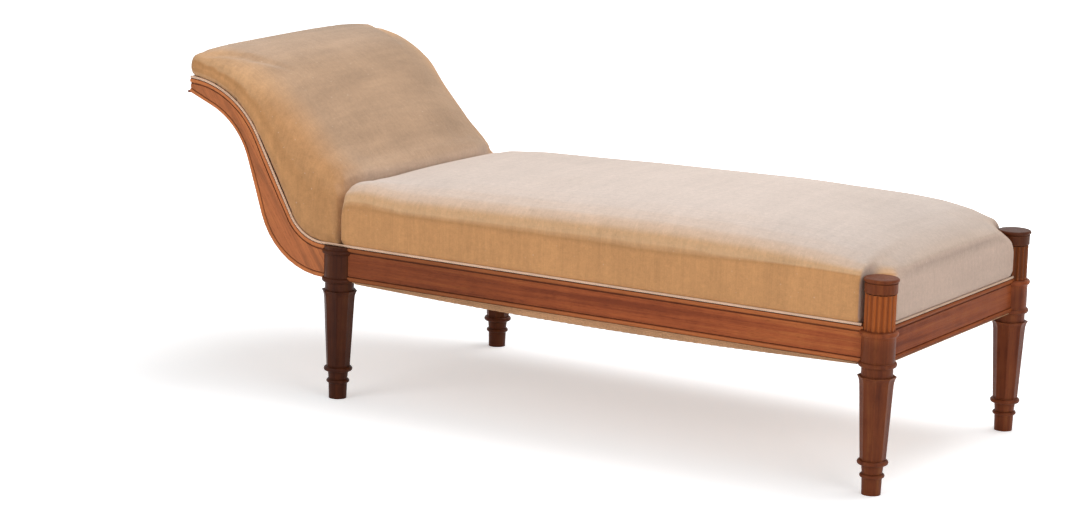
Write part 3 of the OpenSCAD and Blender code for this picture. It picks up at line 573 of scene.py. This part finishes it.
def smoothed(mesh):
    """Shade the mesh's faces smoothly."""
    mesh.polygons.foreach_set("use_smooth", [True] * len(mesh.polygons))
    mesh.update()


def stand_in(obj, node):
    """The object rides on the frame and stands for a CAD node, whose part is hidden."""
    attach(obj, "root")
    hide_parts(node)


def piece(name, points, faces, material, node):
    """New smooth mesh that stands for a CAD node."""
    mesh = bpy.data.meshes.new(name)
    mesh.from_pydata(points, [], faces)
    smoothed(mesh)
    obj = bpy.data.objects.new(name, mesh)
    bpy.context.scene.collection.objects.link(obj)
    give(obj, material)
    stand_in(obj, node)


def settle(obj):
    """The object's mesh with its modifiers applied and removed."""
    seen = obj.evaluated_get(bpy.context.evaluated_depsgraph_get())
    mesh = bpy.data.meshes.new_from_object(seen)
    obj.modifiers.clear()
    obj.data = mesh
    return mesh


def cad_copy(name, node):
    """New object with a copy of a CAD node's mesh."""
    obj = bpy.data.objects.new(name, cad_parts[node].data.copy())
    bpy.context.scene.collection.objects.link(obj)
    obj.data.materials.clear()
    return obj


def even(obj, size):
    """The object's mesh in even small faces."""
    remesh = obj.modifiers.new("even", "REMESH")
    remesh.mode = "VOXEL"
    remesh.voxel_size = size
    return settle(obj)


def swell(node, size, cap, tacked):
    """How stuffing pushes the CAD form, by coarse cloth under pressure: places, and shifts."""
    obj = cad_copy("stuffing", node)
    mesh = even(obj, size)
    start = [v.co.copy() for v in mesh.vertices]
    pins = obj.vertex_groups.new(name="tacked")
    pins.add([v.index for v in mesh.vertices if tacked(v.co)], 1.0, "REPLACE")
    cloth = obj.modifiers.new("cloth", "CLOTH")
    cloth.settings.vertex_group_mass = "tacked"
    cloth.settings.use_pressure = True
    cloth.settings.uniform_pressure_force = CLOTH_PRESSURE
    cloth.settings.effector_weights.gravity = 0.0
    cloth.settings.tension_stiffness = 20
    cloth.settings.bending_stiffness = 0.4
    cloth.settings.quality = 4
    cloth.collision_settings.use_collision = False
    for step in range(1, CLOTH_FRAMES + 1):
        bpy.context.scene.frame_set(step)
    seen = obj.evaluated_get(bpy.context.evaluated_depsgraph_get())
    shifts = [new.co - old for new, old in zip(seen.data.vertices, start)]
    bpy.context.scene.frame_set(1)
    bpy.data.objects.remove(obj)
    tree = KDTree(len(start))
    for i, old in enumerate(start):
        tree.insert(old, i)
    tree.balance()
    return tree, [v * (cap * math.tanh(v.length / cap) / max(v.length, 1e-9)) for v in shifts]


def smooth(value):
    """0 below 0, 1 above 1 and an easy curve between."""
    value = max(0.0, min(1.0, value))
    return value * value * (3 - 2 * value)


def rippled(p, seed, upright):
    """Height of the ripples in a cover, finer where it stands upright."""
    broad = noise.noise(Vector((p.x * 4, p.y * 4, seed + p.z * 3)))
    fine = noise.noise(Vector((p.x * 48, p.y * 48, seed + p.z * 5)))
    return broad * BROAD_RIPPLE + fine * FINE_RIPPLE * upright


def stuffed(name, node, swelling, tacked, yields, turning_in, at_hem, slump, seed, material):
    """Padded piece: the CAD form in fine faces, rounded, swollen by its stuffing and rippled.

    tacked, yields, turning_in, at_hem and slump are functions of the place: whether the cover is
    nailed down, how far it gives way, how far its edge is rounded, its hem and its worn form.
    """
    cover = bpy.context.scene.recamier_velvet
    obj = cad_copy(name, node)
    mesh = even(obj, cover.fine)
    soft = obj.vertex_groups.new(name="soft")
    for v in mesh.vertices:
        soft.add([v.index], yields(v.co) * turning_in(v.co), "REPLACE")
    rounded = obj.modifiers.new("rounded", "SMOOTH")
    rounded.factor = 0.5
    rounded.iterations = ROUNDING_STEPS
    rounded.vertex_group = "soft"
    mesh = settle(obj)
    pushed = swell(node, cover.coarse, swelling, tacked)
    for v, facing in zip(mesh.vertices, [n.vector.copy() for n in mesh.vertex_normals]):
        give_way = yields(v.co)
        ripple = rippled(v.co, seed, max(0.0, 1 - abs(facing.z) * 1.6))
        shift = facing * (ripple * give_way + HEM * at_hem(v.co)) + slump(v.co)
        if pushed:
            tree, shifts = pushed
            near = tree.find_n(v.co, 4)
            shares = [1 / (gap + 0.001) for _, _, gap in near]
            push = sum((shifts[i] * share for (_, i, _), share in zip(near, shares)), Vector())
            shift += push * (give_way / sum(shares))
        v.co += shift
    obj.vertex_groups.clear()
    smoothed(mesh)
    give(obj, material)
    stand_in(obj, node)


def lining(name, node, material, shift):
    """Sheet of cloth: the CAD form in small faces, moved by shift, a function of the place."""
    obj = cad_copy(name, node)
    bm = bmesh.new()
    bm.from_mesh(obj.data)
    for _ in range(7):
        long = [e for e in bm.edges if e.calc_length() > LINING_EDGE]
        if not long:
            break
        bmesh.ops.subdivide_edges(bm, edges=long, cuts=1)
        bmesh.ops.triangulate(bm, faces=bm.faces)
    for v in bm.verts:
        v.co += shift(v.co)
    area = sum(f.calc_area() for f in bm.faces) / 2
    bm.to_mesh(obj.data)
    bm.free()
    give(obj, material)
    stand_in(obj, node)


def arc(centre, radius, first, last, steps):
    """Points of an arc above its centre, or below it with a radius below 0, between degrees."""
    turns = [math.radians(first + (last - first) * k / steps) for k in range(steps + 1)]
    return [(centre[0] + radius * math.sin(turn), centre[1] + radius * math.cos(turn))
            for turn in turns]


def scroll_centre():
    """Centre of the scroll in side view."""
    return (middle_of("leg_head_near").x - SCROLL_BACK,
            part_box("side_rail_near")[1][2] + SCROLL_UP)


def stile_edge():
    """Upper edge of the scroll stile in side view: sweep, straight and scroll."""
    sweep = (middle_of("leg_head_near").x - SWEEP_BACK,
             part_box("side_rail_near")[1][2] + SWEEP_RADIUS)
    scroll = scroll_centre()
    lean = math.atan2(scroll[1] - sweep[1], sweep[0] - scroll[0])
    reach = math.asin((SWEEP_RADIUS + SCROLL_RADIUS) / math.dist(sweep, scroll))
    slope = math.degrees(reach) + math.degrees(lean)
    return (arc(sweep, -SWEEP_RADIUS, 0, slope, 24)
            + arc(scroll, SCROLL_RADIUS, slope, SCROLL_END, 44))


def spaced(line, gap):
    """Points a gap apart along a line of points."""
    line = [Vector(p) for p in line]
    out, spare = [line[0]], 0.0
    for a, b in zip(line, line[1:]):
        run = (b - a).length
        at = gap - spare
        while at <= run:
            out.append(a.lerp(b, at / run))
            at += gap
        spare = (spare + run) % gap
    return out


def square_to(line, i, outward):
    """Direction along a line at its point i, and the one square to that and to outward."""
    ahead = (line[min(i + 1, len(line) - 1)] - line[max(i - 1, 0)]).normalized()
    return ahead, outward.cross(ahead).normalized()


def twisted(line, outward, strand, twist, strands=2, per_turn=9, sides=5):
    """Strands twisted round each other along a line; outward is square to it."""
    line = spaced(line, twist / per_turn)
    points, faces = [], []
    for s in range(strands):
        first = len(points)
        core = []
        for i, p in enumerate(line):
            _, side = square_to(line, i, outward)
            turn = 2 * math.pi * (i / per_turn + s / strands)
            core.append(p + (outward * math.cos(turn) + side * math.sin(turn)) * strand)
        for i, p in enumerate(core):
            ahead, side = square_to(core, i, outward)
            out = ahead.cross(side).normalized()
            for k in range(sides):
                turn = 2 * math.pi * k / sides
                points.append(p + (out * math.cos(turn) + side * math.sin(turn)) * strand)
        for i in range(len(core) - 1):
            a, b = first + i * sides, first + (i + 1) * sides
            for k in range(sides):
                n = (k + 1) % sides
                faces.append((a + k, a + n, b + n, b + k))
        last = first + (len(core) - 1) * sides
        faces.append(tuple(first + k for k in reversed(range(sides))))
        faces.append(tuple(last + k for k in range(sides)))
    return points, faces


class RECAMIER_OT_polish(bpy.types.Operator):
    """French-polish the legs, rails, stiles and crest"""

    bl_idname = "recamier.polish"
    bl_label = "Polish the show wood"

    def execute(self, context):
        for node, (grain, tone, seed) in SHOW_WOOD.items():
            give(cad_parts[node], mahogany("mahogany_" + node, node, grain, tone, seed))
        return {"FINISHED"}


class RECAMIER_OT_inside(bpy.types.Operator):
    """Finish the bare wood, springs, webbing and hessian inside the frame"""

    bl_idname = "recamier.inside"
    bl_label = "Finish the inside"

    def execute(self, context):
        trim = context.scene.recamier_trim
        for node, (grain, tone, seed) in BARE_WOOD.items():
            give(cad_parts[node], bare_wood("bare_" + node, grain, tone, seed))
        for node in ("springs", "brace_screws"):
            give(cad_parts[node], steel("steel_" + node))
        for node, step, seed in (("webbing_long", 0.0022, 1.0), ("webbing_cross", 0.0022, 3.0),
                                 ("back_webbing", 0.0022, 5.0), ("hessian", 0.0030, 7.0)):
            give(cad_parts[node], woven("jute_" + node, trim.jute, step, seed))
        return {"FINISHED"}


class RECAMIER_OT_seat(bpy.types.Operator):
    """Upholster the seat in velvet"""

    bl_idname = "recamier.seat"
    bl_label = "Upholster the seat"

    def execute(self, context):
        low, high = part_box("seat_pad")
        post = tuple(middle_of("leg_foot_near").xy)
        inset = 0.03

        def from_post(p):
            return math.dist((p.x, -abs(p.y)), post)

        def tacked(p):
            inside = low[0] + inset < p.x < high[0] - inset and abs(p.y) < high[1] - inset
            return (p.z < low[2] + 0.014 or p.x < low[0] + 0.006
                    or (p.z < low[2] + 0.070 and inside))

        def yields(p):
            up = min(1.0, max(0.04, (p.z - low[2] - 0.010) / 0.030))
            clear = min(1.0, max(0.12, (from_post(p) - 0.040) / 0.035))
            head = min(1.0, max(0.10, (p.x - low[0]) / 0.050))
            return up * clear * head

        def turning_in(p):
            inward = max(0.0, min(high[1] - abs(p.y), high[0] - p.x))
            return min(1.0, 0.25 + 0.75 * inward / 0.10)

        def slump(p):
            """The head's near edge stands up, its middle has sunk, the far foot corner is full."""
            raised, shaded_groove, filled = 0.011, 0.009, 0.0045
            head = smooth((low[0] + 0.17 - p.x) / 0.14) * smooth((p.z - low[2] - 0.060) / 0.045)
            near_edge = smooth((-p.y - 0.26) / 0.055)
            middle = 1 - smooth((-p.y - 0.16) / 0.14) - 0.55 * smooth((p.y - 0.10) / 0.20)
            far = smooth((p.x - 0.50) / 0.22) * smooth((p.y - 0.05) / 0.20)
            corner = smooth((p.z - low[2] - 0.085) / 0.03) * (1 - smooth((p.x - 0.745) / 0.055))
            return Vector((0, 0, head * (raised * near_edge - shaded_groove * middle)
                           + filled * far * corner))

        def at_hem(p):
            rim = max(abs(p.y) - high[1] + 0.016, p.x - high[0] + 0.016, 0.046 - from_post(p))
            return max(0.0, 1 - (p.z - low[2]) / 0.014) * (rim > 0) * (p.x > low[0] + 0.01)

        stuffed("seat_cover", "seat_pad", context.scene.recamier_velvet.seat_swell, tacked,
                yields, turning_in, at_hem, slump, 1.0, velvet("velvet_seat", seat_colours, 1.0))
        return {"FINISHED"}


class RECAMIER_OT_back(bpy.types.Operator):
    """Upholster the scrolled back in velvet"""

    bl_idname = "recamier.back"
    bl_label = "Upholster the back"

    def execute(self, context):
        edge = stile_edge()
        low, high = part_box("back_pad")
        foot = edge[::3] + [(high[0] - 0.046 + 0.0115 * k, edge[0][1]) for k in range(5)]

        def rise(p):
            return min(math.dist((p.x, p.z), q) for q in foot)

        def tacked(p):
            return rise(p) < 0.012 or p.x > high[0] - 0.005 or p.x < low[0] + 0.004

        def yields(p):
            up = min(1.0, max(0.04, (rise(p) - 0.012) / 0.030))
            return up * min(1.0, max(0.10, (high[0] - p.x) / 0.08))

        def turning_in(p):
            inward = max(0.0, min(high[1] - abs(p.y), p.x - low[0]))
            return min(1.0, 0.22 + 0.78 * inward / 0.10)

        def slump(p):
            """The toe is full and closes on the seat, and the scroll's crown stands up."""
            toe, waist, near_top, far_top, leaning = 0.018, 0.012, 0.022, 0.007, 0.020
            foot_end = smooth((p.x - high[0] + 0.10) / 0.05) * smooth((0.558 - p.z) / 0.055)
            sides = smooth((abs(p.y) - 0.17) / 0.15)
            lean = smooth((0.524 - p.z) / 0.036) * smooth((p.z - 0.440) / 0.03)
            low_down = toe + waist * smooth((p.z - 0.350) / 0.04)
            high_up = near_top if p.y < 0 else far_top
            close = low_down + (high_up - low_down) * smooth((p.z - 0.445) / 0.03)
            out = foot_end * (close * sides + leaning * lean * (1 - sides))
            crown = 0.002 + 0.006 * smooth((p.y + 0.3) / 0.5)
            return Vector((out, 0, smooth((p.z - 0.60) / 0.06) * crown))

        def at_hem(p):
            rim = max(abs(p.y) - high[1] + 0.016, low[0] + 0.012 - p.x)
            return max(0.0, 1 - rise(p) / 0.016) * (rim > 0) * (p.x < high[0] - 0.01)

        pile = velvet("velvet_back", back_colours, 4.0, 0.55, (0.35, 0.0, 0.2))
        stuffed("back_cover", "back_pad", context.scene.recamier_velvet.back_swell, tacked,
                yields, turning_in, at_hem, slump, 4.0, pile)
        return {"FINISHED"}


class RECAMIER_OT_gimp(bpy.types.Operator):
    """Lay the twisted gimp over the velvet's tacked edges"""

    bl_idname = "recamier.gimp"
    bl_label = "Lay the gimp"

    def execute(self, context):
        trim = context.scene.recamier_trim
        thread = gimp_thread("gimp_thread", tuple(trim.gimp))
        # A darker thread for the foot and crest gimps
        dimmed_thread = gimp_thread("gimp_dimmed_thread", dimmed(trim.gimp, 0.66))
        low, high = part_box("gimp_near")
        rail_z = low[2] + (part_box("gimp_foot")[1][2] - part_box("gimp_foot")[0][2]) / 2
        rise = rail_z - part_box("side_rail_near")[1][2]
        edge = stile_edge()
        side = [(high[0] - 0.001, rail_z)]
        for i, (x, z) in enumerate(edge):
            a, b = edge[max(i - 1, 0)], edge[min(i + 1, len(edge) - 1)]
            run = math.dist(a, b)
            side.append((x + rise * (b[1] - a[1]) / run, z - rise * (b[0] - a[0]) / run))
        for name in ("gimp_near", "gimp_far"):
            y = middle_of(name).y
            line = [(x, y, z) for x, z in side]
            points, faces = twisted(line, Vector((0, 1, 0)), trim.strand, trim.twist)
            piece(name + "_cord", points, faces, thread, name)
        for name in ("gimp_foot", "gimp_crest"):
            middle = middle_of(name)
            line = [(middle.x, corner[1], middle.z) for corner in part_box(name)]
            points, faces = twisted(line, Vector((1, 0, 0)), trim.strand, trim.twist)
            piece(name + "_cord", points, faces, dimmed_thread, name)
        return {"FINISHED"}


class RECAMIER_OT_linings(bpy.types.Operator):
    """Finish the bottoming under the seat and the outside back"""

    bl_idname = "recamier.linings"
    bl_label = "Hang the linings"

    def execute(self, context):
        low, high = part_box("bottoming")
        middle = (low[0] + high[0]) / 2
        half_length = (high[0] - low[0]) / 2

        def slack(p):
            inside = min(high[1] - abs(p.y), p.x - low[0], high[0] - p.x)
            free = max(0.0, min(1.0, (inside - 0.012) / 0.05))
            tack_line = min(1.0, max(0.0, (inside - 0.006) / 0.012))
            sag = 0.0060 * (1 - ((p.x - middle) / half_length) ** 2)
            pucker = math.sin(p.x * 190) * math.exp(-(inside - 0.020) ** 2 / 0.0006) * 0.0007
            uneven = noise.noise(Vector((p.x * 7, p.y * 11, 2.0))) * 0.0022
            return Vector((0, 0, (uneven + pucker) * free - sag * tack_line))

        canvas = woven("canvas_bottoming", context.scene.recamier_trim.canvas, 0.0018, 9.0, 0.7)
        lining("bottoming_canvas", "bottoming", canvas,
               slack)

        centre_x, centre_z = scroll_centre()
        half_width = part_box("back_cloth")[1][1]

        def drawn(p):
            out = Vector((p.x - centre_x, 0, p.z - centre_z)).normalized()
            free = max(0.0, min(1.0, (half_width - abs(p.y)) / 0.08))
            uneven = noise.noise(Vector((p.x * 9, p.y * 6, p.z * 9))) * 0.0012
            return out * (uneven * free)

        cloth = velvet("velvet_outside_back", outside_colours, 8.0)
        lining("outside_back_cloth", "back_cloth", cloth,
               drawn)
        return {"FINISHED"}


def aim_camera(scene, stage):
    """Camera at the stage's eye, turned by its yaw, pitch and roll."""
    yaw, pitch, roll = stage.yaw, stage.pitch, stage.roll
    back = Vector((math.sin(yaw) * math.cos(pitch), -math.cos(yaw) * math.cos(pitch),
                   math.sin(pitch)))
    level = (-back).cross(Vector((0, 0, 1))).normalized()
    upright = level.cross(-back)
    right = math.cos(roll) * level + math.sin(roll) * upright
    up = math.cos(roll) * upright - math.sin(roll) * level
    camera = bpy.data.cameras.new("camera")
    camera.lens = stage.lens
    camera.sensor_width = 36
    camera.clip_end = 100
    eye = bpy.data.objects.new("camera", camera)
    turn = Matrix((right, up, back)).transposed().to_4x4()
    eye.matrix_world = Matrix.Translation(stage.eye) @ turn
    scene.collection.objects.link(eye)
    scene.camera = eye


def lay_floor(scene, stage):
    """Pale floor that keeps the shadow and goes to white away from the object."""
    mesh = bpy.data.meshes.new("floor")
    far = FLOOR_REACH
    mesh.from_pydata([(-far, -far, 0), (far, -far, 0), (far, far, 0), (-far, far, 0)], [],
                     [(0, 1, 2, 3)])
    floor = bpy.data.objects.new("floor", mesh)
    scene.collection.objects.link(floor)
    paper = Finish("floor_paper", Roughness=0.95, Specular_IOR_Level=0.0)
    paper.shader.inputs["Base Color"].default_value = (*stage.floor, 1)
    camera, glossy, through = (paper.node("ShaderNodeLightPath", out="Is %s Ray" % kind)
                               for kind in ("Camera", "Glossy", "Transmission"))
    x, y, _ = paper.parts(paper.place)
    away = ((x * x + y * y) ** 0.5).ramp(0.85, 2.4, 0.41, 1.0)
    glow = paper.node("ShaderNodeEmission", {}, {"Color": paper.grey(away), "Strength": 1.0})
    plain = Socket(paper, paper.shader.outputs[0])
    bright = paper.node("ShaderNodeAddShader", {}, {0: plain, 1: glow})
    seen = (camera + glossy + through).at_most(1.0)
    blend = paper.node("ShaderNodeMixShader", {}, {0: seen, 1: plain, 2: bright})
    output = paper.tree.nodes["Material Output"]
    paper.tree.links.new(blend.link, output.inputs["Surface"])
    give(floor, paper.material)


def light_room(scene):
    """Soft even light from all round, seen as white, and three soft lamps."""
    world = bpy.data.worlds.new("studio")
    world.use_nodes = True
    scene.world = world
    nodes, link = world.node_tree.nodes, world.node_tree.links.new
    plain = nodes["Background"]
    plain.inputs["Color"].default_value = (1, 1, 1, 1)
    plain.inputs["Strength"].default_value = 0.42
    white = nodes.new("ShaderNodeBackground")
    white.inputs["Color"].default_value = (1, 1, 1, 1)
    path = nodes.new("ShaderNodeLightPath")
    seen = path.outputs["Is Camera Ray"]
    for kind in ("Glossy", "Transmission"):
        either = nodes.new("ShaderNodeMath")
        either.operation = "MAXIMUM"
        link(seen, either.inputs[0])
        link(path.outputs["Is %s Ray" % kind], either.inputs[1])
        seen = either.outputs[0]
    blend = nodes.new("ShaderNodeMixShader")
    for socket, source in enumerate((seen, plain.outputs[0], white.outputs[0])):
        link(source, blend.inputs[socket])
    link(blend.outputs[0], nodes["World Output"].inputs["Surface"])

    for name, at, look, size, power in (
            ("key", (0.8, 1.2, 4.2), (0.1, 0, 0.3), 3.0, 124),
            ("side", (4.6, -2.2, 2.2), (0.2, 0, 0.35), 2.6, 62),
            ("front", (-1.8, -5.0, 2.6), (0, 0, 0.3), 3.0, 78)):
        lamp = bpy.data.lights.new(name, "AREA")
        lamp.shape = "SQUARE"
        lamp.size = size
        lamp.energy = power
        light = bpy.data.objects.new(name, lamp)
        light.location = at
        light.rotation_euler = (Vector(look) - Vector(at)).to_track_quat("-Z", "Y").to_euler()
        scene.collection.objects.link(light)


class RECAMIER_OT_stage(bpy.types.Operator):
    """Set the camera, the floor and the studio light"""

    bl_idname = "recamier.stage"
    bl_label = "Set the stage"

    def execute(self, context):
        scene = context.scene
        scene.view_settings.view_transform = "Standard"
        aim_camera(scene, scene.recamier_stage)
        lay_floor(scene, scene.recamier_stage)
        light_room(scene)
        return {"FINISHED"}


OPERATORS = (RECAMIER_OT_polish, RECAMIER_OT_inside, RECAMIER_OT_seat, RECAMIER_OT_back,
             RECAMIER_OT_gimp, RECAMIER_OT_linings, RECAMIER_OT_stage)
SETTINGS = {"recamier_wood": RecamierWood, "recamier_velvet": RecamierVelvet,
            "recamier_trim": RecamierTrim, "recamier_stage": RecamierStage}


class RECAMIER_PT_panel(bpy.types.Panel):
    """Lists the steps that finish the recamier"""

    bl_idname = "RECAMIER_PT_panel"
    bl_label = "Recamier"
    bl_space_type = "VIEW_3D"
    bl_region_type = "UI"
    bl_category = "Recamier"

    def draw(self, context):
        for step in OPERATORS:
            self.layout.operator(step.bl_idname)
        for name, group in SETTINGS.items():
            box = self.layout.box()
            for key in group.__annotations__:
                box.prop(getattr(context.scene, name), key)


CLASSES = (*SETTINGS.values(), *OPERATORS, RECAMIER_PT_panel)


def register():
    for cls in CLASSES:
        bpy.utils.register_class(cls)
    for name, group in SETTINGS.items():
        setattr(bpy.types.Scene, name, PointerProperty(type=group))


def unregister():
    for name in SETTINGS:
        delattr(bpy.types.Scene, name)
    for cls in reversed(CLASSES):
        bpy.utils.unregister_class(cls)


def main():
    register()
    for step in OPERATORS:
        getattr(bpy.ops.recamier, step.bl_idname.split(".")[1])()


if __name__ == "__main__":
    main()
